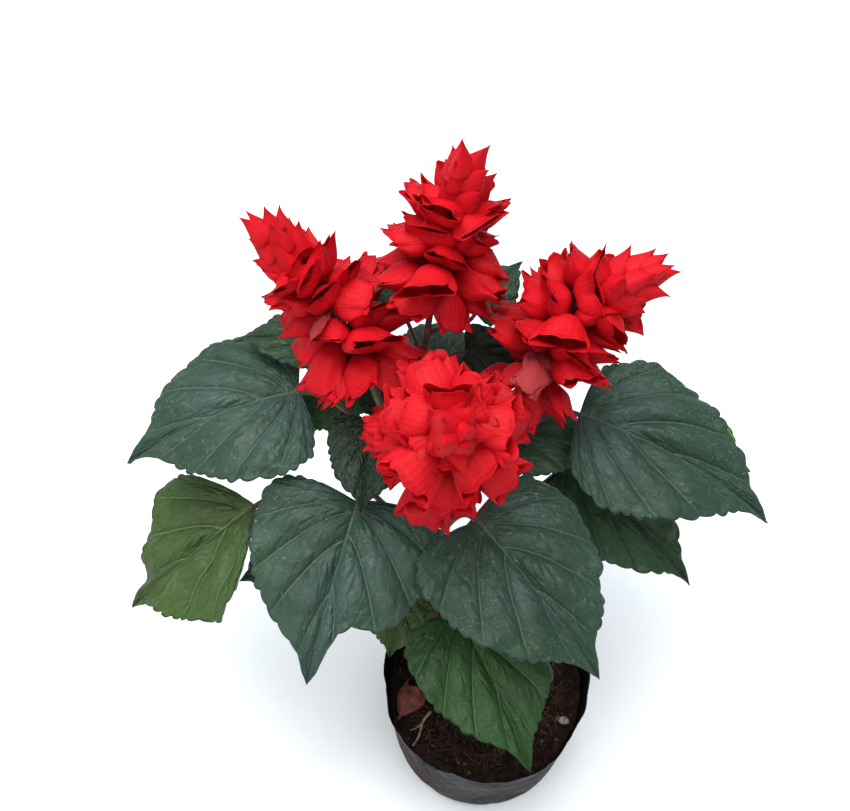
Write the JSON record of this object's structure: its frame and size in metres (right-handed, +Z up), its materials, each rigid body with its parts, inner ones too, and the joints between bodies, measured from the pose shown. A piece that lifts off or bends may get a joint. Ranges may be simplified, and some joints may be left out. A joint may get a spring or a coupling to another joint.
{
  "type": "potted scarlet sage",
  "caption": "Scarlet sage in a thin black nursery grow bag: dark green toothed leaves on long stalks, and spikes of red bell-shaped calyces over a bag of coco peat",
  "frame": {"origin": "the centre of the flat underside of the grow bag, on the surface that it stands on", "axes": "+Z up; +X to the right and +Y away, seen from the side that the front flower spike faces; the stem is rooted left of and behind the middle of the bag"},
  "size_m": [0.2981, 0.1942, 0.316],
  "materials": {
    "black_film": "thin crumpled film, half gloss, dusty",
    "coco_peat": "damp fibrous peat",
    "stem_bark": "matt, green to brown",
    "leaf_green": "satin leaf with pale veins",
    "scarlet_calyx": "papery, ribbed",
    "dried_calyx": "dry, papery",
    "straw": "dry, matt",
    "pebble_stone": "rough stone"
  },
  "bodies": {
    "root": {"back_buds": "scarlet_calyx", "back_whorl_1": "scarlet_calyx", "back_whorl_2": "scarlet_calyx", "back_whorl_3": "scarlet_calyx", "branch_back": "stem_bark", "branch_left": "stem_bark", "branch_right": "stem_bark", "dry_straw": "straw", "fallen_calyx": "dried_calyx", "fallen_petal": "scarlet_calyx", "front_buds": "scarlet_calyx", "front_whorl_1": "scarlet_calyx", "front_whorl_2": "scarlet_calyx", "front_whorl_3": "scarlet_calyx", "front_whorl_4": "scarlet_calyx", "grow_bag": "black_film", "leaf_back_left": "leaf_green", "leaf_back_right": "leaf_green", "leaf_back_upper": "leaf_green", "leaf_centre": "leaf_green", "leaf_centre_left": "leaf_green", "leaf_front_left": "leaf_green", "leaf_front_left_low": "leaf_green", "leaf_front_low": "leaf_green", "leaf_front_right": "leaf_green", "leaf_left_drooping": "leaf_green", "leaf_left_far": "leaf_green", "leaf_left_lower": "leaf_green", "leaf_left_small": "leaf_green", "leaf_left_upper": "leaf_green", "leaf_right_back": "leaf_green", "leaf_right_far": "leaf_green", "leaf_right_inner": "leaf_green", "leaf_right_lower": "leaf_green", "leaf_right_upper": "leaf_green", "left_buds": "scarlet_calyx", "left_whorl_1": "scarlet_calyx", "left_whorl_2": "scarlet_calyx", "left_whorl_3": "scarlet_calyx", "left_whorl_4": "scarlet_calyx", "main_stem": "stem_bark", "pebble": "pebble_stone", "right_buds": "scarlet_calyx", "right_whorl_1": "scarlet_calyx", "right_whorl_2": "scarlet_calyx", "right_whorl_3": "scarlet_calyx", "right_whorl_4": "scarlet_calyx", "soil": "coco_peat"}
  },
  "joints": []
}
